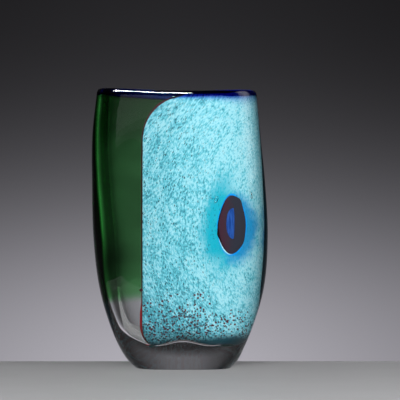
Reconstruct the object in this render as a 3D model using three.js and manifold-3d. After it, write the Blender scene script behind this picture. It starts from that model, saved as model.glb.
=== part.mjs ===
// Hand blown glass vase: a flattened oval body of thick clear glass over coloured overlays.
// Millimetres, +Z up. The origin is the middle of the foot's underside, +X runs along the
// long side of the oval, and the side with the eye faces -Y.
import * as THREE from 'three';
import { mergeVertices } from 'three/addons/utils/BufferGeometryUtils.js';
import Module from 'manifold-3d';

const wasm = await Module();
wasm.setup();

// ---- Driving dimensions ----
const RIM_HEIGHT = 300;
const LIP_HEIGHT = 7.2;       // height of the blue thread on the lip
const LIP_EDGE = 4.5;         // rounding of the lip's outer and inner edges
const GAP = 0.3;              // between pieces that touch
const FULLNESS = 0.33;        // how much squarer than an ellipse the outside's section is
const WELL_FULLNESS = 0.1;    // and the well's

// The outside, as [height, left, right, front] half-sizes of the oval section.
const OUTSIDE = [
  [0, 47, 54, 27],
  [7, 54.5, 61, 32],
  [20, 63.5, 68, 37.5],
  [42, 73.5, 77.5, 43],
  [84, 86, 90, 49],
  [138, 93, 94.5, 52],
  [200, 94.5, 91.5, 52],
  [250, 94, 86.5, 50],
  [300, 89, 82, 47],
];

// The well that holds the flowers, in the same form, before its floor is rounded.
const WELL = [
  [23, 41, 57, 24],
  [42, 53, 62, 28.5],
  [84, 67, 68, 35],
  [138, 72, 71, 38],
  [200, 76, 69.5, 38],
  [250, 77.5, 66.5, 37.5],
  [300, 75, 63, 36],
];
const FLOOR_HEIGHT = 23;
const FLOOR_CORNER = 30;        // height over which the well's walls turn into its floor
const FLOOR_SQUARENESS = 2.5;   // 2 would be an elliptical corner
const FLOOR_FLAT = 0.22;        // share of the floor that is flat from front to back
const FLOOR_RISE = { height: 9, x: 3, width: 24, end: 75 };   // the floor's middle stands up

// Glass layers, as distances outward from the well's surface.
const LINING = 2.0;
const RED_INNER = LINING + GAP;
const RED_OUTER = RED_INNER + 0.6;
const TURQUOISE_INNER = RED_OUTER + GAP;
const TURQUOISE_OUTER = TURQUOISE_INNER + 1.2;
const CASING_INNER = TURQUOISE_OUTER + GAP;

// Where green meets turquoise, and where the green ends.
const SEAM_X = -39;
const SEAM_CORNER_WIDTH = 46;   // the turquoise panel's rounded top corner
const SEAM_CORNER_HEIGHT = 52;
const RED_SHOW = 1.4;           // red that shows past the turquoise along the seam
const GREEN_END = 73;
const WAVE = [[-28, 28.5], [3, 34], [40, 26.5], [66, 30.5]];   // lower edge of the turquoise
const LAYER_TOP = RIM_HEIGHT - LIP_HEIGHT - GAP;

// The eye, an upright oval inlay.
const EYE = { x: 53, z: 154, halfWidth: 13.5, halfHeight: 31 };
const PUPIL = { x: 52.3, z: 155.3, halfWidth: 4, halfHeight: 16.3 };
const HALO_WIDTH = 3.5;

// The rim sags between its two ends, and is a little higher on the left.
const SAG_START = 190;
const RIM_SAG = 4.5;
const RIM_TILT = 0.8;

// The ground hollow under the foot, part of a sphere.
const HOLLOW_RADIUS = 40;
const HOLLOW_DEPTH = 2.4;

// Cutting shapes run past the pieces that they cut.
const PAST = 8;
const PAST_END = 110;

// Facets.
const AROUND = 40;
const BODY_LEVELS = 15;
const WELL_LEVELS = 10;
const LIP_STEPS = 3;
const CURVE_STEPS = 5;
const EYE_STEPS = 11;
const HOLLOW_AROUND = 24;
const HOLLOW_LEVELS = 48;
const LOW_CROWDING = 1.3;       // crowds the body's levels towards the foot

// ---- Sections ----

// Smooth curve through the rows of a table, read at a height.
function sizesAt(table, height) {
  const heights = table.map((row) => row[0]);
  const values = table.flatMap((row) => row.slice(1));
  const curve = new THREE.CubicInterpolant(heights, values, 3);
  const [left, right, front] = curve.evaluate(height);
  return { left, right, front };
}

function ovalPoint({ left, right, front }, fullness, angle, height) {
  const middle = (right - left) / 2;
  const half = (right + left) / 2;
  const squarer = 1 + fullness * Math.cos(angle) ** 2;
  return new THREE.Vector3(
    middle + half * Math.cos(angle), front * Math.sin(angle) * squarer, height);
}

function ovalRing(sizes, fullness, height) {
  const ring = [];
  for (let i = 0; i < AROUND; i += 1) {
    ring.push(ovalPoint(sizes, fullness, (2 * Math.PI * i) / AROUND, height));
  }
  return ring;
}

// How far the rounded floor draws the well's section in: 1 is not at all.
function floorShare(height, offset) {
  const rise = (height - FLOOR_HEIGHT + offset) / (FLOOR_CORNER + offset);
  if (rise >= 1) {
    return 1;
  }
  const inward = (1 - Math.max(rise, 0)) ** FLOOR_SQUARENESS;
  return Math.max((1 - inward) ** (1 / FLOOR_SQUARENESS), FLOOR_FLAT);
}

function heightOfShare(share, offset) {
  const rise = 1 - (1 - share ** FLOOR_SQUARENESS) ** (1 / FLOOR_SQUARENESS);
  return FLOOR_HEIGHT - offset + rise * (FLOOR_CORNER + offset);
}

// The well's section at a height, grown outward by an offset.
function wellSizes(height, offset) {
  const nominal = sizesAt(WELL, THREE.MathUtils.clamp(height, FLOOR_HEIGHT, RIM_HEIGHT));
  const share = floorShare(height, offset);
  return {
    left: (nominal.left + offset) * share,
    right: (nominal.right + offset) * share,
    front: (nominal.front + offset) * share,
  };
}

// The rise of the well's floor, which fades out up the walls.
function floorLift(x, height) {
  const fading = (FLOOR_RISE.end - height) / (FLOOR_RISE.end - FLOOR_HEIGHT);
  const away = (x - FLOOR_RISE.x) / FLOOR_RISE.width;
  return FLOOR_RISE.height * Math.exp(-away * away) * THREE.MathUtils.clamp(fading, 0, 1) ** 2;
}

// A section of the well's surface grown outward by an offset.
function wellRing(height, offset) {
  const ring = ovalRing(wellSizes(height, offset), WELL_FULLNESS, height);
  for (const point of ring) {
    point.z += floorLift(point.x, height);
  }
  return ring;
}

// ---- Solids ----

// Closed mesh through a row of rings with equal point counts. The ends are closed by strips
// between opposite points, or the last ring is joined to the first.
function loft(rings, joined = false) {
  const count = rings[0].length;
  const positions = rings.flat().flatMap((point) => point.toArray());
  const triangles = [];
  const spans = joined ? rings.length : rings.length - 1;
  for (let i = 0; i < spans; i += 1) {
    const low = i * count;
    const high = ((i + 1) % rings.length) * count;
    for (let j = 0; j < count; j += 1) {
      const k = (j + 1) % count;
      triangles.push([low + j, low + k, high + k], [low + j, high + k, high + j]);
    }
  }
  if (!joined) {
    const last = (rings.length - 1) * count;
    for (let j = 0; j < count / 2 - 1; j += 1) {
      const k = count - 1 - j;
      triangles.push([j, k, j + 1], [k, k - 1, j + 1]);
      triangles.push([last + j, last + j + 1, last + k], [last + k, last + j + 1, last + k - 1]);
    }
  }
  return solidOf(positions, triangles);
}

// A solid from corners and triangles, turned so that its faces point out.
function solidOf(positions, triangles) {
  const corner = (i) => new THREE.Vector3().fromArray(positions, 3 * i);
  let volume = 0;
  for (const [a, b, c] of triangles) {
    volume += corner(a).dot(corner(b).cross(corner(c)));
  }
  const outward = volume > 0 ? triangles : triangles.map(([a, b, c]) => [a, c, b]);
  const geometry = new THREE.BufferGeometry();
  geometry.setAttribute('position', new THREE.Float32BufferAttribute(positions, 3));
  geometry.setIndex(outward.flat());
  return manifoldOf(geometry);
}

function manifoldOf(geometry) {
  geometry.deleteAttribute('normal');
  geometry.deleteAttribute('uv');
  const merged = mergeVertices(geometry, 1e-4);
  return new wasm.Manifold(new wasm.Mesh({
    numProp: 3,
    vertProperties: new Float32Array(merged.attributes.position.array),
    triVerts: new Uint32Array(merged.index.array),
  }));
}

// The sag of the rim, applied to every piece alike so that they keep their gaps.
function rimLift(x, z) {
  const reach = Math.max(0, (z - SAG_START) / (RIM_HEIGHT - SAG_START)) ** 2;
  const along = x / OUTSIDE.at(-1)[1];
  return reach * (-RIM_SAG * Math.max(0, 1 - along * along) - RIM_TILT * along);
}

function geometryOf(solid) {
  const { vertProperties, triVerts, numProp } = solid.getMesh();
  const positions = [];
  for (let i = 0; i < vertProperties.length; i += numProp) {
    const [x, y, z] = vertProperties.slice(i, i + 3);
    positions.push(x, y, z + rimLift(x, z));
  }
  const geometry = new THREE.BufferGeometry();
  geometry.setAttribute('position', new THREE.Float32BufferAttribute(positions, 3));
  geometry.setIndex(Array.from(triVerts));
  geometry.computeVertexNormals();
  return geometry;
}

// The well's surface grown by an offset, as a solid up to a height.
function wellSolid(offset, top) {
  const rings = [];
  for (let i = 0; i <= WELL_LEVELS / 2; i += 1) {
    const share = FLOOR_FLAT + (1 - FLOOR_FLAT) * Math.sin((Math.PI * i) / WELL_LEVELS);
    rings.push(wellRing(heightOfShare(share, offset), offset));
  }
  const start = FLOOR_HEIGHT + FLOOR_CORNER;
  for (let i = 1; i <= WELL_LEVELS; i += 1) {
    rings.push(wellRing(start + ((top - start) * i) / WELL_LEVELS, offset));
  }
  return loft(rings);
}

function bodySolid(top) {
  const rings = [];
  for (let i = 0; i <= BODY_LEVELS; i += 1) {
    const height = top * (i / BODY_LEVELS) ** LOW_CROWDING;
    rings.push(ovalRing(sizesAt(OUTSIDE, height), FULLNESS, height));
  }
  return loft(rings);
}

// ---- Outlines in the front view, pushed through the layers from front to back ----

function pushedThrough(outline) {
  const depth = 4 * OUTSIDE.at(-1)[3];
  const prism = new THREE.ExtrudeGeometry(outline, {
    depth,
    bevelEnabled: false,
    curveSegments: CURVE_STEPS,
  });
  prism.translate(0, 0, -depth / 2);
  prism.rotateX(Math.PI / 2);
  return manifoldOf(prism);
}

// The turquoise panel: a straight seam with a rounded top corner, and a wavy lower edge.
// It runs past the right end of the body. seamGrow widens it at the seam, and edgeGrow
// at the wave.
function panelOutline(seamGrow, edgeGrow) {
  const seam = SEAM_X - seamGrow;
  const top = LAYER_TOP + PAST;
  const outline = new THREE.Shape();
  outline.moveTo(PAST_END, top);
  outline.lineTo(SEAM_X + SEAM_CORNER_WIDTH, top);
  outline.lineTo(SEAM_X + SEAM_CORNER_WIDTH, LAYER_TOP + seamGrow);
  outline.absellipse(
    SEAM_X + SEAM_CORNER_WIDTH, LAYER_TOP - SEAM_CORNER_HEIGHT,
    SEAM_CORNER_WIDTH + seamGrow, SEAM_CORNER_HEIGHT + seamGrow, Math.PI / 2, Math.PI);
  const wave = WAVE.map(([x, z]) => new THREE.Vector2(x, z - edgeGrow));
  outline.lineTo(seam, wave[0].y);
  outline.splineThru(wave);
  outline.lineTo(PAST_END, wave.at(-1).y);
  return outline;
}

function aboveOutline(height) {
  const top = LAYER_TOP + PAST;
  const outline = new THREE.Shape();
  outline.moveTo(-PAST_END, height);
  outline.lineTo(PAST_END, height);
  outline.lineTo(PAST_END, top);
  outline.lineTo(-PAST_END, top);
  return outline;
}

function ovalOutline(oval, grow) {
  const outline = new THREE.Shape();
  outline.absellipse(
    oval.x, oval.z, oval.halfWidth + grow, oval.halfHeight + grow, 0, 2 * Math.PI);
  return outline;
}

// The shell between two offsets of the well, up to the lip.
function shell(inner, outer) {
  return wellSolid(outer, LAYER_TOP).subtract(wellSolid(inner, LAYER_TOP + PAST));
}

// The eye's cuts go in from the front only.
function frontPrism(oval, grow) {
  const depth = 2 * OUTSIDE.at(-1)[3];
  const prism = new THREE.ExtrudeGeometry(ovalOutline(oval, grow), {
    depth,
    bevelEnabled: false,
    curveSegments: EYE_STEPS,
  });
  prism.rotateX(Math.PI / 2);
  return manifoldOf(prism);
}

// ---- Sub-parts ----

function clearCasing() {
  const hollow = new THREE.SphereGeometry(HOLLOW_RADIUS, HOLLOW_AROUND, HOLLOW_LEVELS);
  hollow.translate(0, 0, HOLLOW_DEPTH - HOLLOW_RADIUS);
  return bodySolid(LAYER_TOP)
    .subtract(wellSolid(CASING_INNER, LAYER_TOP + PAST))
    .subtract(manifoldOf(hollow));
}

function innerBubble() {
  const layerSpace = shell(LINING, CASING_INNER);
  return wellSolid(TURQUOISE_OUTER, LAYER_TOP)
    .subtract(wellSolid(0, LAYER_TOP + PAST))
    .subtract(layerSpace.intersect(pushedThrough(panelOutline(RED_SHOW + GAP, GAP))))
    .subtract(layerSpace.intersect(pushedThrough(aboveOutline(GREEN_END - GAP))));
}

function greenOverlay() {
  return shell(RED_INNER, TURQUOISE_OUTER)
    .intersect(pushedThrough(aboveOutline(GREEN_END)))
    .subtract(pushedThrough(panelOutline(RED_SHOW + GAP, 0)));
}

function redUnderlay() {
  return shell(RED_INNER, RED_OUTER).intersect(pushedThrough(panelOutline(RED_SHOW, 0)));
}

function turquoiseSheet() {
  return shell(TURQUOISE_INNER, TURQUOISE_OUTER)
    .intersect(pushedThrough(panelOutline(0, 0)));
}

function turquoiseOverlay() {
  return turquoiseSheet().subtract(frontPrism(EYE, HALO_WIDTH + GAP));
}

function eyeHalo() {
  return turquoiseSheet()
    .intersect(frontPrism(EYE, HALO_WIDTH))
    .subtract(frontPrism(EYE, GAP));
}

function eyeRing() {
  return turquoiseSheet()
    .intersect(frontPrism(EYE, 0))
    .subtract(frontPrism(PUPIL, GAP));
}

function eyePupil() {
  return turquoiseSheet().intersect(frontPrism(PUPIL, 0));
}

// The lip's section is a flat strip with rounded upper edges, from the body to the well.
function lipWrap() {
  const base = RIM_HEIGHT - LIP_HEIGHT;
  const sections = [];
  for (let i = 0; i < AROUND; i += 1) {
    const angle = (2 * Math.PI * i) / AROUND;
    const outside = ovalPoint(sizesAt(OUTSIDE, RIM_HEIGHT), FULLNESS, angle, 0);
    const inside = ovalPoint(sizesAt(WELL, RIM_HEIGHT), WELL_FULLNESS, angle, 0);
    const inward = inside.clone().sub(outside).normalize();
    const section = [];
    for (let step = 0; step <= LIP_STEPS; step += 1) {
      const turn = (Math.PI / 2) * (step / LIP_STEPS);
      const set = LIP_EDGE * (1 - Math.cos(turn));
      const height = RIM_HEIGHT - LIP_EDGE * (1 - Math.sin(turn));
      section.push(outside.clone().addScaledVector(inward, set).setZ(height));
    }
    for (let step = LIP_STEPS; step >= 0; step -= 1) {
      const turn = (Math.PI / 2) * (step / LIP_STEPS);
      const set = LIP_EDGE * (1 - Math.cos(turn));
      const height = RIM_HEIGHT - LIP_EDGE * (1 - Math.sin(turn));
      section.push(inside.clone().addScaledVector(inward, -set).setZ(height));
    }
    section.push(inside.clone().setZ(base), outside.clone().setZ(base));
    sections.push(section);
  }
  return loft(sections, true);
}

// ---- Assembly ----

const GLASS = { roughness: 0.04, metalness: 0 };
const SEE_THROUGH = { ...GLASS, transparent: true };

function addPiece(group, name, solid, look) {
  const mesh = new THREE.Mesh(geometryOf(solid), new THREE.MeshStandardMaterial(look));
  mesh.name = name;
  group.add(mesh);
}

const vase = new THREE.Group();
addPiece(vase, 'clear_casing', clearCasing(), { ...SEE_THROUGH, color: 0xe8efee, opacity: 0.25 });
addPiece(vase, 'inner_bubble', innerBubble(), { ...SEE_THROUGH, color: 0xe4eeee, opacity: 0.25 });
addPiece(vase, 'green_overlay', greenOverlay(), { ...SEE_THROUGH, color: 0x1f6b35, opacity: 0.6 });
addPiece(vase, 'red_underlay', redUnderlay(), { ...GLASS, color: 0x8c1218 });
addPiece(vase, 'turquoise_overlay', turquoiseOverlay(), { ...GLASS, color: 0x6fc6d4 });
addPiece(vase, 'eye_halo', eyeHalo(), { ...GLASS, color: 0x0a93e6 });
addPiece(vase, 'eye_ring', eyeRing(), { ...GLASS, color: 0x3a2a36 });
addPiece(vase, 'eye_pupil', eyePupil(), { ...GLASS, color: 0x2655aa });
addPiece(vase, 'lip_wrap', lipWrap(), { ...SEE_THROUGH, color: 0x0b2f9e, opacity: 0.85 });

export default vase;
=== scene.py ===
"""Looks of a hand blown vase: one body of clear glass with colour layers and an eye inside it."""
import math
import random

import bpy
import numpy as np
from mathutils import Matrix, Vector, noise


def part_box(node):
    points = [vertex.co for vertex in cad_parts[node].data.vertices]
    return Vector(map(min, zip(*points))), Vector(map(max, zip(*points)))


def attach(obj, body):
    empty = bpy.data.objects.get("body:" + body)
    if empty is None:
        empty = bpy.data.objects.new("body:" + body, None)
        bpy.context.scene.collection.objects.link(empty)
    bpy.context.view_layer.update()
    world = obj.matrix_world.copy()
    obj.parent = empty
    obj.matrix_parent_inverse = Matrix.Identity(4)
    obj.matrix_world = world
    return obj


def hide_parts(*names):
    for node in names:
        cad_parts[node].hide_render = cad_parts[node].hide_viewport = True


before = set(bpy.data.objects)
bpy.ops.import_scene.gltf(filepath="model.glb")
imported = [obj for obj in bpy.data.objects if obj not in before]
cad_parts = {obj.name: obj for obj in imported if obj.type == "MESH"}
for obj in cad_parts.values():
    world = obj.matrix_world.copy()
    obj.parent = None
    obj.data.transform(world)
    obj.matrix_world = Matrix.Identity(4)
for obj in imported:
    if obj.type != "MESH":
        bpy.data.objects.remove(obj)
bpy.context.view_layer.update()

# ---- The vase's shape, in millimetres of the CAD's design ----
RIM_HEIGHT = 300
MM = (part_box("lip_wrap")[1].z) / (RIM_HEIGHT + 0.3)
FULLNESS = 0.33               # how much squarer than an ellipse the outside's section is
WELL_FULLNESS = 0.1           # and the well's

# The outside, as (height, left, right, front) half-sizes of the oval section.
OUTSIDE = (
    (0, 47, 54, 27),
    (7, 54.5, 61, 32),
    (20, 63.5, 68, 37.5),
    (42, 73.5, 77.5, 43),
    (84, 86, 90, 49),
    (138, 93, 94.5, 52),
    (200, 94.5, 91.5, 52),
    (250, 94, 86.5, 50),
    (300, 89, 82, 47),
)

# The well that holds the flowers, in the same form, before its floor is rounded.
WELL = (
    (23, 41, 57, 24),
    (42, 53, 62, 28.5),
    (84, 67, 68, 35),
    (138, 72, 71, 38),
    (200, 76, 69.5, 38),
    (250, 77.5, 66.5, 37.5),
    (300, 75, 63, 36),
)
FLOOR_HEIGHT = 23
FLOOR_CORNER = 30
FLOOR_SQUARENESS = 2.5
FLOOR_RISE = 9                # the well's floor stands up in its middle
FLOOR_RISE_X = 3
FLOOR_RISE_WIDTH = 24
FLOOR_RISE_END = 75           # height up the walls at which the rise has faded out
FOOT_EDGE = 1.2
LIP_EDGE = 4.5
LIP_HEIGHT = 7.2
SAG_START = 190
RIM_SAG = 4.5
RIM_TILT = 0.8
HOLLOW_RADIUS = 40
HOLLOW_DEPTH = 2.4
FLOOR_MIDDLE_X = 8.5          # where the well's floor closes
FOOT_MIDDLE_X = 3.5           # and the underside
UNEVENNESS = 0.5              # how far hand work pushes the glass sideways
UNEVENNESS_SIZE = 60

# Glass layers, as distances outward from the well's surface.
RED_INNER = 2.3
RED_OUTER = 2.9
TURQUOISE_INNER = 3.2
TURQUOISE_OUTER = 4.4
SEAM_CORNER_WIDTH = 46
SEAM_CORNER_HEIGHT = 52
RED_SHOW = 1.4

AROUND = 176


def place(node, corner, axis):
    """A coordinate of a CAD node's box, in millimetres."""
    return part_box(node)[corner][axis] / MM


SEAM_X = place("turquoise_overlay", 0, 0)
GREEN_END = place("green_overlay", 0, 2)
LAYER_TOP = RIM_HEIGHT - LIP_HEIGHT


# ---- Sections ----

def sizes_at(table, height):
    """Left, right and front half-sizes at a height, on a smooth curve through the table."""
    heights = np.array([row[0] for row in table], float)
    values = np.array([row[1:] for row in table], float)
    slopes = np.diff(values, axis=0) / np.diff(heights)[:, None]
    tangents = np.vstack([slopes[:1], (slopes[1:] + slopes[:-1]) / 2, slopes[-1:]])
    i = int(np.clip(np.searchsorted(heights, height) - 1, 0, len(heights) - 2))
    step = heights[i + 1] - heights[i]
    t = (height - heights[i]) / step
    return (
        (1 + 2 * t) * (1 - t) ** 2 * values[i]
        + t * (1 - t) ** 2 * step * tangents[i]
        + t * t * (3 - 2 * t) * values[i + 1]
        + t * t * (t - 1) * step * tangents[i + 1]
    )


def oval(sizes, angles, fullness=WELL_FULLNESS):
    left, right, front = sizes
    middle = (right - left) / 2
    half = (right + left) / 2
    across = np.cos(angles)
    return middle + half * across, front * np.sin(angles) * (1 + fullness * across ** 2)


def floor_share(height, offset):
    """How far the rounded floor draws the well's section in: 1 is not at all."""
    rise = (height - FLOOR_HEIGHT + offset) / (FLOOR_CORNER + offset)
    inward = (1 - min(max(rise, 0), 1)) ** FLOOR_SQUARENESS
    return (1 - inward) ** (1 / FLOOR_SQUARENESS)


def height_of_share(share, offset):
    rise = 1 - (1 - share ** FLOOR_SQUARENESS) ** (1 / FLOOR_SQUARENESS)
    return FLOOR_HEIGHT - offset + rise * (FLOOR_CORNER + offset)


def well_sizes(height, offset):
    nominal = sizes_at(WELL, max(height, FLOOR_HEIGHT))
    return (nominal + offset) * floor_share(height, offset)


def floor_lift(x, height):
    """The rise of the well's floor, which its walls and the layers follow."""
    fading = np.clip((FLOOR_RISE_END - height) / (FLOOR_RISE_END - FLOOR_HEIGHT), 0, 1)
    away = (x - FLOOR_RISE_X) / FLOOR_RISE_WIDTH
    return FLOOR_RISE * np.exp(-away * away) * fading ** 2


def sagged(points):
    """Points in metres, with the rim's sag, as the CAD has it."""
    points = np.array(points, float)
    reach = np.clip((points[:, 2] - SAG_START) / (RIM_HEIGHT - SAG_START), 0, None) ** 2
    along = points[:, 0] / OUTSIDE[-1][1]
    points[:, 2] += reach * (
        -RIM_SAG * np.clip(1 - along ** 2, 0, None) - RIM_TILT * along)
    return points * MM


# ---- Meshes ----

def make_piece(name, points, faces, material):
    mesh = bpy.data.meshes.new(name)
    mesh.from_pydata([tuple(p) for p in points], [], faces)
    mesh.update()
    if signed_volume(mesh) < 0:
        mesh.flip_normals()
    mesh.materials.append(material)
    mesh.shade_smooth()
    piece = bpy.data.objects.new(name, mesh)
    bpy.context.scene.collection.objects.link(piece)
    return piece


def signed_volume(mesh):
    mesh.calc_loop_triangles()
    corners = np.empty(len(mesh.vertices) * 3)
    mesh.vertices.foreach_get("co", corners)
    corners = corners.reshape(-1, 3)
    triangles = np.empty(len(mesh.loop_triangles) * 3, dtype=np.int32)
    mesh.loop_triangles.foreach_get("vertices", triangles)
    a, b, c = corners[triangles.reshape(-1, 3)].transpose(1, 0, 2)
    return np.einsum("ij,ij->i", a, np.cross(b, c)).sum() / 6


def band_faces(rows, columns, wrap_rows=False, start=0):
    """Quads between neighbouring rows of points, where each row is a closed ring."""
    faces = []
    for i in range(rows if wrap_rows else rows - 1):
        low = start + i * columns
        high = start + ((i + 1) % rows) * columns
        for j in range(columns):
            k = (j + 1) % columns
            faces.append((low + j, low + k, high + k, high + j))
    return faces


def capped_faces(rows, columns, start=0):
    """Rings joined to each other, and the first and last to a pole after them."""
    faces = band_faces(rows, columns, start=start)
    first_pole = start + rows * columns
    last = start + (rows - 1) * columns
    for j in range(columns):
        k = (j + 1) % columns
        faces.append((start + k, start + j, first_pole))
        faces.append((last + j, last + k, first_pole + 1))
    return faces


# ---- The clear body: foot, outside, lip and well in one surface ----

def hand_made(points, strength, grain):
    """Slow unevenness of hot glass, pushed sideways and evened out."""
    moved = []
    for x, y, z in points:
        wave = noise.noise(Vector((x, y, z * 0.6)) / grain)
        moved.append((x * (1 + strength * wave / 90), y * (1 + strength * wave / 50), z))
    return np.array(moved)


def body_rings():
    """(sizes, height, fullness) of rings from the middle of the underside to the well's floor."""
    foot = np.array(OUTSIDE[0][1:], float)
    rings = []
    for share in np.linspace(0.06, 1, 22):
        rings.append(((foot - FOOT_EDGE) * share, 0, FULLNESS))
    for turn in np.linspace(0, math.pi / 2, 6)[1:]:
        inset = FOOT_EDGE * (1 - math.sin(turn))
        height = FOOT_EDGE * (1 - math.cos(turn))
        rings.append((sizes_at(OUTSIDE, height) - inset, height, FULLNESS))
    for share in np.linspace(0, 1, 110)[1:]:
        height = FOOT_EDGE + share ** 1.15 * (RIM_HEIGHT - LIP_EDGE - FOOT_EDGE)
        rings.append((sizes_at(OUTSIDE, height), height, FULLNESS))
    for turn in np.linspace(0, math.pi / 2, 10)[1:]:
        height = RIM_HEIGHT - LIP_EDGE * (1 - math.sin(turn))
        inset = LIP_EDGE * (1 - math.cos(turn))
        rings.append((sizes_at(OUTSIDE, RIM_HEIGHT) - inset, height, FULLNESS))
    outer_top = sizes_at(OUTSIDE, RIM_HEIGHT) - LIP_EDGE
    inner_top = sizes_at(WELL, RIM_HEIGHT) + LIP_EDGE
    for share in np.linspace(0, 1, 8)[1:]:
        fullness = FULLNESS + (WELL_FULLNESS - FULLNESS) * share
        rings.append((outer_top + (inner_top - outer_top) * share, RIM_HEIGHT, fullness))
    for turn in np.linspace(math.pi / 2, 0, 10)[1:]:
        height = RIM_HEIGHT - LIP_EDGE * (1 - math.sin(turn))
        inset = LIP_EDGE * (1 - math.cos(turn))
        rings.append((sizes_at(WELL, RIM_HEIGHT) + inset, height, WELL_FULLNESS))
    low = FLOOR_HEIGHT + FLOOR_CORNER
    for share in np.linspace(1, 0, 64)[1:]:
        height = low + share * (RIM_HEIGHT - LIP_EDGE - low)
        rings.append((well_sizes(height, 0), height, WELL_FULLNESS))
    for turn in np.linspace(math.pi / 2, 0, 40)[1:-1]:
        height = height_of_share(math.sin(turn), 0)
        rings.append((well_sizes(height, 0), height, WELL_FULLNESS))
    return rings


def clear_body(material):
    angles = np.linspace(0, 2 * math.pi, AROUND, endpoint=False)
    points = []
    rings = body_rings()
    for sizes, height, fullness in rings:
        x, y = oval(sizes, angles, fullness)
        z = np.full(AROUND, float(height))
        if height == 0:
            z += hollow_height(x, y)
        elif fullness == WELL_FULLNESS:
            z += floor_lift(x, height)
        points.append(np.stack([x, y, z], axis=1))
    floor_middle_height = FLOOR_HEIGHT + floor_lift(FLOOR_MIDDLE_X, FLOOR_HEIGHT)
    poles = np.array([
        (FOOT_MIDDLE_X, 0, HOLLOW_DEPTH),
        (FLOOR_MIDDLE_X, 0, floor_middle_height),
    ])
    points = hand_made(np.vstack(points + [poles]), UNEVENNESS, UNEVENNESS_SIZE)
    faces = capped_faces(len(rings), AROUND)
    for bubble in air_bubbles():
        faces += capped_faces(BUBBLE_RINGS, BUBBLE_AROUND, len(points))
        points = np.vstack([points, bubble])
    return make_piece("clear_glass_body", sagged(points), faces, material)


BUBBLE_RINGS = 9
BUBBLE_AROUND = 14

# Air bubbles under the outside: (x, height, half width, half height, lean in degrees).
BIG_BUBBLES = ((38, 180, 2.0, 4.2, -25), (71, 185, 1.3, 4.4, 12))


def air_bubbles():
    """Points of each bubble: rings from its top down, so that its faces point into the air."""
    seeds = random.Random(7)
    bubbles = list(BIG_BUBBLES)
    for _ in range(16):
        size = seeds.uniform(0.2, 0.45)
        x = seeds.uniform(-66, -44)
        bubbles.append((x, seeds.uniform(100, 280), size, size * 1.3, 0))
    for x, height, half_width, half_height, lean in bubbles:
        _, y, _ = on_layer(x, height, TURQUOISE_OUTER + 2.5)
        tilt = math.radians(lean)
        shape = []
        for turn in np.linspace(90, -90, BUBBLE_RINGS + 2)[1:-1]:
            shape.append((math.cos(math.radians(turn)), math.sin(math.radians(turn))))
        points = []
        for reach, rise in shape:
            for j in range(BUBBLE_AROUND):
                around = 2 * math.pi * j / BUBBLE_AROUND
                side = half_width * reach * math.cos(around)
                up = half_height * rise
                points.append((
                    x + side * math.cos(tilt) - up * math.sin(tilt),
                    y + half_width * reach * math.sin(around),
                    height + side * math.sin(tilt) + up * math.cos(tilt)))
        for end in (half_height, -half_height):
            points.append((x - end * math.sin(tilt), y, height + end * math.cos(tilt)))
        yield np.array(points)


def hollow_height(x, y):
    """The ground hollow in the underside, part of a sphere."""
    reach = np.sqrt(np.clip(HOLLOW_RADIUS ** 2 - x ** 2 - y ** 2, 0, None))
    return np.clip(reach - HOLLOW_RADIUS + HOLLOW_DEPTH, 0, None)


# ---- Layers of colour on the bubble ----

def seam_x(height):
    rise = (height - (LAYER_TOP - SEAM_CORNER_HEIGHT)) / SEAM_CORNER_HEIGHT
    if rise <= 0:
        return SEAM_X
    return SEAM_X + SEAM_CORNER_WIDTH * (1 - math.sqrt(max(0, 1 - min(rise, 1) ** 2)))


def red_edge(height):
    """Left edge of the red, which shows past the seam and more so round its corner."""
    corner = max(0, 1 - (LAYER_TOP - height) / SEAM_CORNER_HEIGHT)
    low = min(1, max(0, (GREEN_END - height) / 12))
    return seam_x(height) - RED_SHOW - 4 * corner ** 2 - 1.6 * low


def angle_at_x(x, height):
    left, right, _ = sizes_at(WELL, max(height, FLOOR_HEIGHT)) + TURQUOISE_OUTER
    middle = (right - left) / 2
    half = (right + left) / 2
    return math.acos(min(max((x - middle) / half, -1), 1))


WAVE_MEAN = 30
WAVE_SWING = 3.9
WAVE_CREST = 3                # x of its crest
WAVE_HALF_LENGTH = 37
WAVE_FADE_X = 10
WAVE_FADE_WIDTH = 55


def wave_height(x):
    """Wavy lower edge of the turquoise, by distance along X, before the floor's rise."""
    swing = WAVE_SWING * math.exp(-((x - WAVE_FADE_X) / WAVE_FADE_WIDTH) ** 2)
    wave = WAVE_MEAN + swing * math.cos((x - WAVE_CREST) * math.pi / WAVE_HALF_LENGTH)
    height = wave
    for _ in range(6):
        height = wave - floor_lift(x, height)
    return height


def layer(name, inner, outer, columns, rows, low, top, side, reach, material, taper=0):
    """A closed shell between two offsets of the well.

    reach gives its half-angle at a height, low its lower edge at a point across (-1 to 1),
    and side is the angle that it is centred on. taper thins it towards its lower edge.
    """
    across = np.linspace(-1, 1, columns)
    up = np.linspace(0, 1, rows)
    outer_side = np.empty((columns, rows, 3))
    inner_side = np.empty((columns, rows, 3))
    for i, share in enumerate(across):
        bottom = low(share)
        for j, rise in enumerate(up):
            height = bottom + (top - bottom) * rise ** 1.3
            angle = side + share * reach(height)
            thin = 1 if taper == 0 else min(1, (height - bottom + 0.4) / taper)
            skin = inner + (outer - inner) * thin
            for grid, offset in ((outer_side, skin), (inner_side, inner)):
                x, y = oval(well_sizes(height, offset), angle)
                grid[i, j] = (x, y, height + floor_lift(x, height))
    sections = np.concatenate([outer_side, inner_side[:, ::-1]], axis=1)
    count = 2 * rows
    faces = []
    for i in range(columns - 1):
        for j in range(count):
            k = (j + 1) % count
            faces.append((i * count + j, i * count + k, (i + 1) * count + k, (i + 1) * count + j))
    last = (columns - 1) * count
    for j in range(rows - 1):
        k = count - 1 - j
        faces.append((j, k, k - 1, j + 1))
        faces.append((last + j, last + j + 1, last + k - 1, last + k))
    return make_piece(name, sagged(sections.reshape(-1, 3)), faces, material)


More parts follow.
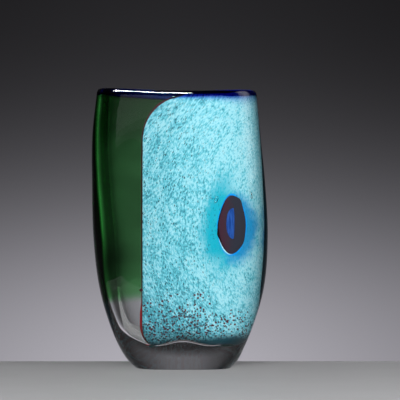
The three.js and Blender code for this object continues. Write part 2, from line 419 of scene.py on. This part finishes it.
def turquoise_low(share):
    """Lower edge of the right-hand layers at a point across them."""
    angle = share * angle_at_x(SEAM_X, FLOOR_HEIGHT + FLOOR_CORNER)
    x, _ = oval(well_sizes(32, TURQUOISE_OUTER), angle)
    return wave_height(float(x))


def turquoise_layer(material):
    return layer(
        "turquoise_glass_layer", TURQUOISE_INNER, TURQUOISE_OUTER, 150, 130, turquoise_low,
        LAYER_TOP + 2, 0, lambda height: angle_at_x(seam_x(height), height), material)


def red_layer(material):
    def reach(height):
        return angle_at_x(red_edge(height), height)

    def low(share):
        return turquoise_low(share) + 2 + 5 * (1 - abs(share))
    return layer(
        "red_glass_layer", RED_INNER, RED_OUTER, 120, 90, low, LAYER_TOP + 2, 0, reach, material)


def green_layer(material):
    def low(share):
        return GREEN_END + 1.5 * noise.noise(Vector((share * 4, 2.2, 0.7)))
    return layer(
        "green_glass_layer", RED_INNER, TURQUOISE_OUTER, 120, 90, low, LAYER_TOP + 1,
        math.pi, lambda height: math.pi - angle_at_x(red_edge(height) - 0.3, height),
        material, taper=9)


# ---- The eye ----

def on_layer(x, height, offset):
    """Point on the front of the well's surface grown by an offset, at a distance along X."""
    left, right, front = well_sizes(height, offset)
    middle = (right - left) / 2
    half = (right + left) / 2
    across = min(max((x - middle) / half, -1), 1)
    y = -front * math.sqrt(1 - across ** 2) * (1 + WELL_FULLNESS * across ** 2)
    return x, y, height


def bump(turn, middle, width):
    """1 at an angle in degrees, fading to 0 over a width."""
    away = (math.degrees(turn) - middle) / width
    return math.exp(-away * away)


EGG_LEFT = 0.28               # how far the ring's top draws in on its left
EGG_RIGHT = 0.06              # and on its right


def ring_outline(turn):
    """Egg that narrows upward on its left, with a nick and a flatter side below it."""
    across = math.cos(turn)
    up = math.sin(turn)
    across *= 1 - (EGG_LEFT if across < 0 else EGG_RIGHT) * max(0, up)
    across += 0.15 * bump(turn, 60, 18) + 0.07 * bump(turn, 322, 18)
    size = 1 + 0.09 * bump(turn, 198, 8) - 0.03 * bump(turn, 235, 20)
    return across * size, up * size


def round_outline(turn):
    return math.cos(turn), math.sin(turn)


def half_lens(turn):
    """Bowed on the left, nearly straight on the right, with blunt ends."""
    across = math.cos(turn)
    up = math.copysign(abs(math.sin(turn)) ** 0.85, math.sin(turn))
    return 0.72 + (0.28 if across > 0 else 1.72) * across, up


def inlay(name, centre, half_size, inner, outer, material, outline):
    """A domed piece of glass on the layer, with an outline around a centre in the front view."""
    turns = 90
    steps = 14
    front = []
    back = []
    for share in np.linspace(0, 1, steps + 1)[1:]:
        for j in range(turns):
            across, up = outline(2 * math.pi * j / turns)
            x = centre[0] + half_size[0] * across * share
            height = centre[1] + half_size[1] * up * share
            thickness = (outer - inner) * (0.1 + 0.9 * math.sqrt(max(0, 1 - share ** 6)))
            front.append(on_layer(x, height, inner + thickness))
            back.append(on_layer(x, height, inner))
    second = steps * turns
    points = np.array(front + back + [
        on_layer(*centre, outer), on_layer(*centre, inner)])
    faces = band_faces(steps, turns)
    faces += [tuple(reversed([v + second for v in face])) for face in faces]
    rim = (steps - 1) * turns
    for j in range(turns):
        k = (j + 1) % turns
        faces.append((rim + j, rim + k, second + rim + k, second + rim + j))
        faces.append((k, j, 2 * second))
        faces.append((second + j, second + k, 2 * second + 1))
    piece = make_piece(name, sagged(points), faces, material)
    rims = {base + rim + j for base in (0, second) for j in range(turns)}
    for edge in piece.data.edges:
        edge.use_edge_sharp = rims.issuperset(edge.vertices)
    return piece


def eye_place(node):
    low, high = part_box(node)
    centre = ((low.x + high.x) / 2 / MM, (low.z + high.z) / 2 / MM)
    half = ((high.x - low.x) / 2 / MM, (high.z - low.z) / 2 / MM)
    return centre, half


# ---- The lip's blue ----

def lip_ring(material):
    """The blue thread: a closed ring just inside the lip's surface."""
    skin = 0.25
    angles = np.linspace(0, 2 * math.pi, AROUND, endpoint=False)
    outer = sizes_at(OUTSIDE, RIM_HEIGHT)
    inner = sizes_at(WELL, RIM_HEIGHT)
    base = RIM_HEIGHT - LIP_HEIGHT
    edge = LIP_EDGE - skin
    rings = [(sizes_at(OUTSIDE, base) - skin, base, FULLNESS)]
    for turn in np.linspace(0, math.pi / 2, 9):
        height = RIM_HEIGHT - skin - edge * (1 - math.sin(turn))
        rings.append((outer - skin - edge * (1 - math.cos(turn)), height, FULLNESS))
    for turn in np.linspace(math.pi / 2, 0, 9):
        height = RIM_HEIGHT - skin - edge * (1 - math.sin(turn))
        rings.append((inner + skin + edge * (1 - math.cos(turn)), height, WELL_FULLNESS))
    rings.append((sizes_at(WELL, base) + skin, base, WELL_FULLNESS))
    points = []
    for sizes, height, fullness in rings:
        x, y = oval(sizes, angles, fullness)
        sway = 0.0
        if height == base:
            sway = np.array([
                0.8 * noise.noise(Vector((math.cos(a), math.sin(a), 0.3)) * 2.2) for a in angles])
        points.append(np.stack([x, y, np.full(AROUND, float(height)) + sway], axis=1))
    faces = band_faces(len(rings), AROUND, wrap_rows=True)
    return make_piece("cobalt_lip", sagged(np.vstack(points)), faces, material)


# ---- Materials: helpers that add a node and give its output ----

def new_material(name):
    material = bpy.data.materials.new(name)
    material.use_nodes = True
    tree = material.node_tree
    tree.nodes.clear()
    output = tree.nodes.new("ShaderNodeOutputMaterial")
    return material, tree, output


def link(tree, source, target):
    tree.links.new(source, target)


def feed(tree, socket, value):
    """Link an output to a socket, or set the socket to a plain value."""
    if isinstance(value, bpy.types.NodeSocket):
        tree.links.new(value, socket)
    else:
        socket.default_value = value


def maths(tree, operation, first, second=0.0, third=0.0):
    node = tree.nodes.new("ShaderNodeMath")
    node.operation = operation
    for socket, value in zip(node.inputs, (first, second, third)):
        feed(tree, socket, value)
    return node.outputs["Value"]


def fade(tree, value, start, end):
    """0 at start and 1 at end, eased between them, whichever of the two is higher."""
    node = tree.nodes.new("ShaderNodeMapRange")
    node.interpolation_type = "SMOOTHSTEP"
    low, high = min(start, end), max(start, end)
    feed(tree, node.inputs["Value"], value)
    node.inputs["From Min"].default_value = low
    node.inputs["From Max"].default_value = high
    node.inputs["To Min"].default_value = 0.0 if start < end else 1.0
    node.inputs["To Max"].default_value = 1.0 if start < end else 0.0
    return node.outputs["Result"]


def blended(tree, share, first, second):
    """Colour that goes from first at share 0 to second at share 1."""
    node = tree.nodes.new("ShaderNodeMix")
    node.data_type = "RGBA"
    feed(tree, node.inputs["Factor"], share)
    for socket, colour in ((node.inputs["A"], first), (node.inputs["B"], second)):
        feed(tree, socket, (*colour, 1) if isinstance(colour, tuple) else colour)
    return node.outputs["Result"]


def grain(tree, where, scale, detail=2.0, roughness=0.5):
    node = tree.nodes.new("ShaderNodeTexNoise")
    feed(tree, node.inputs["Vector"], where)
    node.inputs["Scale"].default_value = scale
    node.inputs["Detail"].default_value = detail
    node.inputs["Roughness"].default_value = roughness
    return node.outputs["Fac"]


def specks(tree, where, scale, size, rarity):
    """Scattered grains: 1 inside a grain. Cells whose random number is over rarity have one."""
    cells = tree.nodes.new("ShaderNodeTexVoronoi")
    feed(tree, cells.inputs["Vector"], where)
    cells.inputs["Scale"].default_value = scale
    pick = tree.nodes.new("ShaderNodeSeparateColor")
    link(tree, cells.outputs["Color"], pick.inputs["Color"])
    near = fade(tree, cells.outputs["Distance"], size, size * 0.6)
    chosen = maths(tree, "GREATER_THAN", pick.outputs["Red"], rarity)
    return maths(tree, "MULTIPLY", near, chosen)


def position(tree):
    """The piece's own coordinates in metres: the point, and its x, y and z."""
    coordinates = tree.nodes.new("ShaderNodeTexCoord")
    split = tree.nodes.new("ShaderNodeSeparateXYZ")
    point = coordinates.outputs["Object"]
    link(tree, point, split.inputs["Vector"])
    return point, split.outputs["X"], split.outputs["Y"], split.outputs["Z"]


def joined(tree, x, y, z):
    node = tree.nodes.new("ShaderNodeCombineXYZ")
    for socket, value in zip(node.inputs, (x, y, z)):
        feed(tree, socket, value)
    return node.outputs["Vector"]


def bumped(tree, height, depth, strength=1.0):
    """A normal from a height that runs from 0 to 1 over a depth in metres."""
    node = tree.nodes.new("ShaderNodeBump")
    node.inputs["Strength"].default_value = strength
    node.inputs["Distance"].default_value = depth
    link(tree, height, node.inputs["Height"])
    return node.outputs["Normal"]


# ---- Glasses that light goes through ----

def clear_glass():
    """Fire-polished glass. Lamps shine straight through it onto the colours inside."""
    material, tree, output = new_material("clear_glass")
    glass = tree.nodes.new("ShaderNodeBsdfPrincipled")
    glass.inputs["IOR"].default_value = 1.5
    glass.inputs["Transmission Weight"].default_value = 1.0
    point, _, _, _ = position(tree)
    cords = grain(tree, point, 45, 1.0)
    tint = blended(tree, cords, (0.965, 0.99, 0.98), (0.995, 1.0, 0.998))
    link(tree, tint, glass.inputs["Base Color"])
    link(tree, bumped(tree, grain(tree, point, 28, 1.0), 0.00025), glass.inputs["Normal"])
    link(tree, maths(tree, "MULTIPLY", fade(tree, grain(tree, point, 90), 0.55, 0.8), 0.004),
         glass.inputs["Roughness"])
    through = tree.nodes.new("ShaderNodeBsdfTransparent")
    through.inputs["Color"].default_value = (0.96, 0.97, 0.97, 1)
    rays = tree.nodes.new("ShaderNodeLightPath")
    mix = tree.nodes.new("ShaderNodeMixShader")
    link(tree, rays.outputs["Is Shadow Ray"], mix.inputs["Fac"])
    link(tree, glass.outputs["BSDF"], mix.inputs[1])
    link(tree, through.outputs["BSDF"], mix.inputs[2])
    link(tree, mix.outputs["Shader"], output.inputs["Surface"])
    return material


def stained(name, colour, density):
    """Glass that only absorbs, for a layer inside the clear body."""
    material, tree, output = new_material(name)
    surface = tree.nodes.new("ShaderNodeBsdfTransparent")
    surface.inputs["Color"].default_value = (1, 1, 1, 1)
    volume = tree.nodes.new("ShaderNodeVolumeAbsorption")
    volume.inputs["Color"].default_value = (*colour, 1)
    volume.inputs["Density"].default_value = density
    link(tree, surface.outputs["BSDF"], output.inputs["Surface"])
    link(tree, volume.outputs["Volume"], output.inputs["Volume"])
    return material


# ---- Opaque glasses ----

def opaque_glass(name, paint, roughness=(0.35, 0.6), pit_scale=300, pit_depth=0.0001):
    """Opaque coloured glass. paint adds its colour nodes and gives the colour."""
    material, tree, output = new_material(name)
    shader = tree.nodes.new("ShaderNodeBsdfPrincipled")
    shader.inputs["Specular IOR Level"].default_value = 0.1
    point, x, y, z = position(tree)
    link(tree, paint(tree, point, x, y, z), shader.inputs["Base Color"])
    pits = grain(tree, point, pit_scale)
    rough = tree.nodes.new("ShaderNodeMapRange")
    link(tree, pits, rough.inputs["Value"])
    rough.inputs["To Min"].default_value, rough.inputs["To Max"].default_value = roughness
    link(tree, rough.outputs["Result"], shader.inputs["Roughness"])
    link(tree, bumped(tree, pits, pit_depth), shader.inputs["Normal"])
    link(tree, shader.outputs["BSDF"], output.inputs["Surface"])
    return material


PALE = (0.38, 0.78, 0.88)
TURQUOISE = (0.13, 0.59, 0.72)
TEAL = (0.055, 0.30, 0.39)
DEEP_TEAL = (0.012, 0.10, 0.14)
CYAN = (0.0, 0.43, 0.58)
AZURE = (0.0, 0.30, 0.86)
BLUE = (0.01, 0.27, 0.58)
DARK_RED = (0.085, 0.007, 0.013)
MAROON = (0.045, 0.010, 0.016)


def frit_flow(tree, x, y, z):
    """Coordinates whose grains lean right near the lip, left near the foot, and stand between."""
    lean = 2.6
    upright = 0.15
    height = maths(tree, "SUBTRACT", z, upright)
    shift = maths(tree, "MULTIPLY", maths(tree, "MULTIPLY", height, height), lean)
    length = 0.5
    return joined(tree, maths(tree, "SUBTRACT", x, shift), y, maths(tree, "MULTIPLY", z, length))


def eye_distance(tree, x, z, centre, half_size):
    """1 on the ring's egg shape grown around centre, 0 in its middle."""
    across = maths(tree, "DIVIDE", maths(tree, "SUBTRACT", x, centre[0] * MM), half_size[0] * MM)
    up = maths(tree, "DIVIDE", maths(tree, "SUBTRACT", z, centre[1] * MM), half_size[1] * MM)
    mean = (EGG_LEFT + EGG_RIGHT) / 2
    swing = (EGG_RIGHT - EGG_LEFT) / 2
    draw = maths(tree, "MULTIPLY_ADD", maths(tree, "SIGN", across), swing, mean)
    draw = maths(tree, "MULTIPLY", draw, maths(tree, "MAXIMUM", up, 0.0))
    across = maths(tree, "DIVIDE", across, maths(
        tree, "MAXIMUM", maths(tree, "SUBTRACT", 1.0, draw), 0.5))
    return maths(tree, "SQRT", maths(
        tree, "ADD", maths(tree, "MULTIPLY", across, across), maths(tree, "MULTIPLY", up, up)))


def frit(tree, point, x, y, z):
    """Crushed turquoise and white glass: pale ground, leaning flecks, dark and red grains, with
    painted shade that darkens it towards the bottom and turns its lower edge deep teal.
    """
    flow = frit_flow(tree, x, y, z)
    clumps = grain(tree, flow, 110, 2.0)
    flecks = grain(tree, flow, 620, 2.0, 0.6)
    calm = fade(tree, x, -0.01, 0.06)
    # painted shade: low makes the frit darker towards the bottom, where the layer turns under
    low = fade(tree, z, 0.12, 0.05)

    mottled = maths(tree, "MULTIPLY_ADD", clumps, 0.27, maths(tree, "MULTIPLY", flecks, 0.73))
    mottled = maths(tree, "ADD", mottled, maths(tree, "MULTIPLY", calm, 0.06))
    mottled = maths(tree, "SUBTRACT", mottled, maths(tree, "MULTIPLY", low, 0.05))
    colour = blended(tree, fade(tree, mottled, 0.37, 0.48), TEAL, TURQUOISE)
    colour = blended(tree, fade(tree, mottled, 0.46, 0.60), colour, PALE)

    colour = around_eye(tree, point, x, z, colour)

    quiet = maths(tree, "SUBTRACT", 1.0, maths(tree, "MULTIPLY", calm, 0.7))
    for scale, size, rarity in ((470, 0.36, 0.84), (740, 0.38, 0.76)):
        dark = specks(tree, flow, scale, size, rarity)
        colour = blended(tree, maths(tree, "MULTIPLY", dark, quiet), colour, DEEP_TEAL)
    patchy = maths(tree, "MULTIPLY_ADD", grain(tree, point, 45), 0.09, z)
    rarity = maths(tree, "MULTIPLY_ADD", fade(tree, patchy, 0.13, 0.085), -0.72, 1.0)
    rarity = maths(tree, "MULTIPLY_ADD", fade(tree, x, 0.01, 0.055), 0.3, rarity)
    for scale, shift, tint in ((325, 0.31, DARK_RED), (375, 0.57, MAROON), (345, 0.83, DEEP_TEAL)):
        grains = specks(
            tree, joined(tree, maths(tree, "ADD", x, shift), y, z), scale, 0.46, rarity)
        colour = blended(tree, grains, colour, tint)

    seam = seam_share(tree, x, z)
    colour = blended(tree, fade(tree, seam, 0.985, 0.992), colour, MAROON)
    # painted shade: the lower edge is painted deep teal, a little lower on the right
    edge = maths(tree, "MULTIPLY_ADD", grain(tree, point, 60), 0.008, z)
    edge = maths(tree, "SUBTRACT", edge, maths(tree, "MULTIPLY", calm, 0.008))
    return blended(tree, fade(tree, edge, 0.038, 0.030), colour, DEEP_TEAL)


def seam_share(tree, x, z):
    """1 along the seam and its rounded corner, and less to the right of them."""
    corner_x = SEAM_X + SEAM_CORNER_WIDTH
    corner_z = LAYER_TOP - SEAM_CORNER_HEIGHT
    across = maths(tree, "DIVIDE", maths(
        tree, "SUBTRACT", corner_x * MM, x), SEAM_CORNER_WIDTH * MM)
    up = maths(tree, "DIVIDE", maths(
        tree, "SUBTRACT", z, corner_z * MM), SEAM_CORNER_HEIGHT * MM)
    sides = [maths(tree, "MAXIMUM", side, 0.0) for side in (across, up)]
    squares = [maths(tree, "MULTIPLY", side, side) for side in sides]
    return maths(tree, "SQRT", maths(tree, "ADD", *squares))


def around_eye(tree, point, x, z, colour):
    """Cyan spread left of the eye, blue spread right of it, and azure under and just round it.

    Distance is taken in x and z alone, so the back of the layer has the same patch.
    """
    centre, half_size = eye_place("eye_ring")
    wander = maths(tree, "MULTIPLY", maths(tree, "SUBTRACT", grain(tree, point, 70), 0.5), 0.7)

    def spread(shift_x, shift_up, start, end):
        middle = (centre[0] + shift_x, centre[1] + shift_up)
        away = eye_distance(tree, x, z, middle, half_size)
        return fade(tree, maths(tree, "ADD", away, wander), start, end)
    colour = blended(tree, maths(tree, "MULTIPLY", spread(-10, 0, 2.2, 0.8), 0.95), colour, CYAN)
    colour = blended(tree, maths(tree, "MULTIPLY", spread(6, -4, 1.45, 0.9), 0.95), colour, BLUE)
    rim = fade(tree, eye_distance(tree, x, z, centre, half_size), 1.10, 1.03)
    return blended(tree, rim, colour, AZURE)


def azure(tree, point, x, y, z):
    """The halo thins into the turquoise, and is pale where the ring has drawn back from it."""
    centre, half_size = eye_place("eye_ring")
    ring = eye_distance(tree, x, z, centre, half_size)
    left = fade(tree, x, centre[0] * MM + 0.003, centre[0] * MM - 0.004)
    below = fade(tree, z, centre[1] * MM - 0.006, centre[1] * MM - 0.012)
    bare = maths(tree, "MULTIPLY", fade(tree, ring, 1.05, 1.01), maths(
        tree, "MULTIPLY", left, below))
    return blended(tree, bare, frit(tree, point, x, y, z), PALE)


def aubergine(tree, point, x, y, z):
    """Dark ring: reddish on the left, slate on the right, with a burnt left edge."""
    centre, half_size = eye_place("eye_ring")
    cloud = grain(tree, point, 260, 3.0)
    side = maths(tree, "ADD", x, maths(tree, "MULTIPLY", cloud, 0.012))
    colour = blended(
        tree, fade(tree, side, centre[0] * MM - 0.004, centre[0] * MM + 0.010),
        (0.054, 0.022, 0.036), (0.030, 0.032, 0.046))
    edge = maths(tree, "ADD", eye_distance(tree, x, z, centre, half_size),
                 maths(tree, "MULTIPLY", cloud, 0.1))
    left = fade(tree, x, centre[0] * MM - 0.004, centre[0] * MM - 0.009)
    return blended(tree, maths(
        tree, "MULTIPLY", fade(tree, edge, 0.93, 1.0), left), colour, (0.004, 0.002, 0.003))


def cobalt(tree, point, x, y, z):
    """Core of the eye, drawn out into upright streaks."""
    streaks = grain(tree, joined(tree, x, y, maths(tree, "MULTIPLY", z, 0.12)), 700, 1.0)
    return blended(tree, fade(tree, streaks, 0.35, 0.65), (0.010, 0.055, 0.26), (0.026, 0.10, 0.40))


def red(tree, point, x, y, z):
    """Red glass, bright low on the seam and dark maroon above."""
    cloud = grain(tree, point, 150, 3.0)
    height = maths(tree, "ADD", z, maths(tree, "MULTIPLY", cloud, 0.02))
    bright = blended(tree, cloud, (0.30, 0.008, 0.010), (0.48, 0.02, 0.015))
    return blended(tree, fade(tree, height, 0.075, 0.095), bright, (0.05, 0.008, 0.012))


def paper(tree, point, x, y, z):
    return blended(tree, grain(tree, point, 14, 4.0), (0.36, 0.36, 0.37), (0.40, 0.40, 0.41))


# ---- Stage, lights and camera ----

def floor_slab():
    mesh = bpy.data.meshes.new("floor")
    half_width = 0.5
    back = 0.092
    front = -0.4
    depth = 0.03
    top = -0.0003
    corners = [(-half_width, front), (half_width, front), (half_width, back), (-half_width, back)]
    points = [(x, y, top) for x, y in corners] + [(x, y, top - depth) for x, y in corners]
    faces = [(0, 1, 2, 3), (7, 6, 5, 4)] + [(i, i + 4, (i + 1) % 4 + 4, (i + 1) % 4) for i in range(4)]
    mesh.from_pydata(points, [], faces)
    floor = bpy.data.objects.new("floor", mesh)
    bpy.context.scene.collection.objects.link(floor)
    mesh.materials.append(opaque_glass("floor_paper", paper, (0.55, 0.7), 900, 0.00003))


def softbox(name, place_at, aim, size, power):
    light = bpy.data.lights.new(name, "AREA")
    light.shape = "RECTANGLE"
    light.size, light.size_y = size
    light.energy = power
    lamp = bpy.data.objects.new(name, light)
    lamp.location = place_at
    lamp.rotation_euler = (Vector(aim) - Vector(place_at)).to_track_quat("-Z", "Y").to_euler()
    bpy.context.scene.collection.objects.link(lamp)
    return lamp


KEY_POWER = 38
FILL_POWER = 12
LIP_POWER = 60
STRIP_DISTANCE = 1.3
STRIP_TURN = 72                 # degrees round from the front to the first strip
STRIP_STEP = 14
STRIP_POWERS = (1.4, 2.2, 1.2)

# Weak boxes in front, which veil the upper glass: (height, depth, power).
FRONT_BOXES = ((0.60, 0.07, 0.12), (0.68, 0.09, 0.3), (0.89, 0.33, 1.7))


def set_lamps():
    """Soft boxes. Some do not show in the glass, and some light no matte surface."""
    key_box = softbox("key_box", (-0.1, -1.5, 0.9), (0, 0, 0.18), (1.6, 0.8), KEY_POWER)
    right_fill = softbox("right_fill", (1.15, -0.95, 0.5), (0, 0, 0.17), (0.8, 0.8), FILL_POWER)
    for fill in (key_box, right_fill):
        fill.visible_glossy = False
        fill.visible_transmission = False
    lip_light = softbox("lip_light", (-0.65, -0.85, 1.5), (0, 0, 0.3), (1.9, 0.3), LIP_POWER)
    lip_light.visible_diffuse = False
    for height, depth, power in FRONT_BOXES:
        veil = softbox(
            f"front_box_{height}", (-0.8, -2.2, height), (-0.8, 0, height), (4.0, depth), power)
        veil.visible_transmission = False
    for step, power in enumerate(STRIP_POWERS):
        turn = math.radians(STRIP_TURN + STRIP_STEP * step)
        place_at = (STRIP_DISTANCE * math.sin(turn), -STRIP_DISTANCE * math.cos(turn), 0.85)
        strip = softbox(f"right_strip_{step}", place_at, (0, 0, 0.2), (0.32, 1.1), power)
        strip.visible_diffuse = False


# The glow behind the vase, by the upward part of the direction to it.
GLOW_BRIGHT = 0.47              # grey that it adds low down
GLOW_MIDDLE = -0.025            # where it has faded by half
GLOW_STEEPNESS = 32             # how quickly it fades upward
DARK_GREY = 0.0145              # grey of the studio that is left above the glow
CEILING_GREY = 0.10             # grey that a pale ceiling adds
CEILING_START = 0.20            # upward part at which the ceiling begins
CEILING_FULL = 0.32
STUDIO_TINT = (1.0, 0.97, 1.07)
GLOW_LOBES = ((150.0, 0.36), (12.0, 0.60))   # (narrowness from side to side, share)
SIDE_GREY = 0.06                # share that is left at the sides and in front
GLOW_TURN = math.radians(-1.0)  # the glow's middle is a little left of straight behind


def studio_world():
    """Grey studio: a glow low behind the vase that fades upward and to the sides."""
    world = bpy.data.worlds.new("studio")
    world.use_nodes = True
    tree = world.node_tree
    tree.nodes.clear()
    output = tree.nodes.new("ShaderNodeOutputWorld")
    background = tree.nodes.new("ShaderNodeBackground")
    coordinates = tree.nodes.new("ShaderNodeTexCoord")
    split = tree.nodes.new("ShaderNodeSeparateXYZ")
    link(tree, coordinates.outputs["Generated"], split.inputs["Vector"])
    upward = split.outputs["Z"]

    rise = maths(tree, "MULTIPLY", maths(tree, "SUBTRACT", upward, GLOW_MIDDLE), GLOW_STEEPNESS)
    faded = maths(tree, "ADD", maths(tree, "EXPONENT", rise), 1.0)
    grey = maths(tree, "ADD", maths(tree, "DIVIDE", GLOW_BRIGHT, faded), DARK_GREY)
    ceiling = fade(tree, upward, CEILING_START, CEILING_FULL)
    grey = maths(tree, "MULTIPLY_ADD", ceiling, CEILING_GREY, grey)

    level = maths(tree, "SQRT", maths(tree, "SUBTRACT", 1.0, maths(
        tree, "MULTIPLY", upward, upward)))
    towards = maths(tree, "MULTIPLY_ADD", split.outputs["X"], math.sin(GLOW_TURN), maths(
        tree, "MULTIPLY", split.outputs["Y"], math.cos(GLOW_TURN)))
    behind = maths(tree, "MAXIMUM", maths(tree, "DIVIDE", towards, level), 0.0)
    strength = SIDE_GREY
    for narrowness, share in GLOW_LOBES:
        lobe = maths(tree, "POWER", behind, narrowness)
        strength = maths(tree, "MULTIPLY_ADD", lobe, share, strength)
    background.inputs["Color"].default_value = (*STUDIO_TINT, 1)
    link(tree, maths(tree, "MULTIPLY", grey, strength), background.inputs["Strength"])
    link(tree, background.outputs["Background"], output.inputs["Surface"])
    bpy.context.scene.world = world


CAMERA_DISTANCE = 1.9
CAMERA_HEIGHT = 0.160
CAMERA_ASIDE = 0.0215
AIM_HEIGHT = 0.1804
LENS = 159


def set_camera():
    camera = bpy.data.cameras.new("camera")
    camera.lens = LENS
    holder = bpy.data.objects.new("camera", camera)
    holder.location = (CAMERA_ASIDE, -CAMERA_DISTANCE, CAMERA_HEIGHT)
    aim = Vector((CAMERA_ASIDE, 0, AIM_HEIGHT)) - holder.location
    holder.rotation_euler = aim.to_track_quat("-Z", "Y").to_euler()
    bpy.context.scene.collection.objects.link(holder)
    bpy.context.scene.camera = holder


def set_render_quality():
    scene = bpy.context.scene
    scene.view_settings.view_transform = "Standard"
    scene.cycles.max_bounces = 40
    scene.cycles.transmission_bounces = 32
    scene.cycles.transparent_max_bounces = 48
    scene.cycles.glossy_bounces = 12
    scene.cycles.diffuse_bounces = 4
    scene.cycles.use_denoising = True
    scene.cycles.caustics_refractive = False
    scene.cycles.caustics_reflective = False


def dress(piece, slot, *nodes):
    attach(piece, "root")
    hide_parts(*nodes)


# ---- Assembly ----

dress(clear_body(clear_glass()), "clear_glass", "clear_casing", "inner_bubble")
dress(turquoise_layer(opaque_glass("turquoise_glass", frit)), "turquoise_glass",
      "turquoise_overlay")
dress(red_layer(opaque_glass("red_glass", red)), "red_glass", "red_underlay")
dress(inlay("red_glass_knot", (SEAM_X - 0.6, 85.5), (2.0, 1.7), TURQUOISE_OUTER - 1.5,
            TURQUOISE_OUTER + 0.6, opaque_glass("dark_red_glass", red), round_outline),
      "red_glass", "red_underlay")
dress(green_layer(stained("green_glass", (0.10, 0.82, 0.20), 400)), "green_glass",
      "green_overlay")
ring_centre, ring_half = eye_place("eye_ring")
pupil_centre, pupil_half = eye_place("eye_pupil")
halo_centre, halo_half = eye_place("eye_halo")
dress(inlay("eye_halo_glass", halo_centre, halo_half, TURQUOISE_OUTER + 0.03,
            TURQUOISE_OUTER + 0.10, opaque_glass("azure_glass", azure), round_outline),
      "azure_glass", "eye_halo")
dress(inlay("eye_ring_glass", ring_centre, ring_half, TURQUOISE_OUTER + 0.3,
            TURQUOISE_OUTER + 0.7, opaque_glass("aubergine_glass", aubergine), ring_outline),
      "aubergine_glass", "eye_ring")
dress(inlay("eye_pupil_glass", pupil_centre, pupil_half, TURQUOISE_OUTER + 0.75,
            TURQUOISE_OUTER + 1.2, opaque_glass("cobalt_core_glass", cobalt), half_lens),
      "cobalt_core_glass", "eye_pupil")
dress(lip_ring(stained("cobalt_lip_glass", (0.06, 0.55, 0.876), 700)), "cobalt_lip_glass",
      "lip_wrap")

floor_slab()
set_lamps()
studio_world()
set_camera()
set_render_quality()
